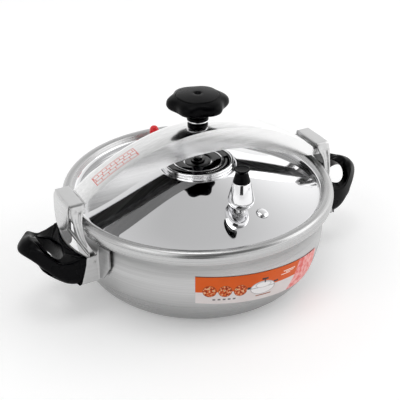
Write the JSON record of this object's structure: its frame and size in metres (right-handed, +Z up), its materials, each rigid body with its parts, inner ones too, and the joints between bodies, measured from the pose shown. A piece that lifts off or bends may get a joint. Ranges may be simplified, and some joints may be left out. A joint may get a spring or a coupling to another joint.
{
  "type": "stovetop pressure cooker",
  "caption": "Low, wide stovetop pressure cooker: a domed lid clamped by an arched bridge, hinged hooks and a lobed knob, with loop handles, weighted valve and red pressure indicator.",
  "frame": {"origin": "on the surface the cooker stands on, at the pot's axis", "axes": "+Z up, the bridge and both handles along X, -Y the front, where the printed label and the weighted valve are"},
  "size_m": [0.394, 0.28, 0.1974],
  "materials": {
    "spun_aluminium": "satin, brushed round the wall",
    "polished_steel": "mirror polished",
    "satin_sheet_steel": "satin",
    "turned_steel": "turned, bright",
    "black_bakelite": "black phenolic moulding, semi-gloss",
    "black_gloss_insert": "high gloss",
    "grey_rubber": "soft matt",
    "red_silicone": "smooth",
    "printed_label": "printed film, satin"
  },
  "bodies": {
    "pot": {"pot_body": "spun_aluminium", "bracket_left": "satin_sheet_steel", "bracket_right": "satin_sheet_steel", "handle_left": "black_bakelite", "handle_right": "black_bakelite", "handle_screw_left_front": "turned_steel", "handle_screw_left_back": "turned_steel", "handle_screw_right_front": "turned_steel", "handle_screw_right_back": "turned_steel", "hook_pin_left": "turned_steel", "hook_pin_right": "turned_steel", "label": "printed_label"},
    "cover": {"lid": "polished_steel", "gasket": "grey_rubber", "pressure_plate": "polished_steel", "plate_insert": "black_gloss_insert", "screw_foot": "turned_steel", "foot_retaining_ring": "turned_steel", "vent_pipe": "turned_steel", "vent_nut": "turned_steel", "vent_strainer": "polished_steel", "safety_plug": "polished_steel", "indicator_bush": "grey_rubber"},
    "bridge": {"bridge": "satin_sheet_steel", "threaded_bush": "polished_steel", "bush_lock_ring": "turned_steel"},
    "knob": {"clamp_screw": "turned_steel", "knob": "black_bakelite"},
    "hook_left": {"hook_left": "satin_sheet_steel"},
    "hook_right": {"hook_right": "satin_sheet_steel"},
    "weight": {"weight_body": "polished_steel", "weight_cap": "black_bakelite"},
    "indicator": {"indicator_stem": "polished_steel", "indicator_cap": "red_silicone", "indicator_clip": "polished_steel"}
  },
  "joints": [
    {"name": "cover_lift", "type": "slide", "parent": "pot", "child": "cover", "axis": [0, 0, 1], "range_m": [0, 0.01]},
    {"name": "knob_turn", "type": "hinge", "parent": "cover", "child": "knob", "pos_m": [0, 0, 0.163], "axis": [0, 0, 1], "range_deg": [-270, 630]},
    {"name": "bridge_travel", "type": "slide", "parent": "cover", "child": "bridge", "axis": [0, 0, -1], "range_m": [-0.0015, 0.0035]},
    {"name": "hook_left_swing", "type": "hinge", "parent": "pot", "child": "hook_left", "pos_m": [-0.1334, 0, 0.063], "axis": [0, -1, 0], "range_deg": [0, 24]},
    {"name": "hook_right_swing", "type": "hinge", "parent": "pot", "child": "hook_right", "pos_m": [0.1334, 0, 0.063], "axis": [0, 1, 0], "range_deg": [0, 24]},
    {"name": "weight_lift", "type": "slide", "parent": "cover", "child": "weight", "axis": [0, 0, 1], "range_m": [0, 0.022]},
    {"name": "indicator_rise", "type": "slide", "parent": "cover", "child": "indicator", "axis": [0, 0, 1], "range_m": [0, 0.004]}
  ],
  "couplings": [
    {"joint": "knob_turn", "follows": "bridge_travel", "rad_per_m": 3141.6},
    {"joint": "hook_left_swing", "follows": "cover_lift", "rad_per_m": 41.88},
    {"joint": "hook_right_swing", "follows": "cover_lift", "rad_per_m": 41.88}
  ]
}
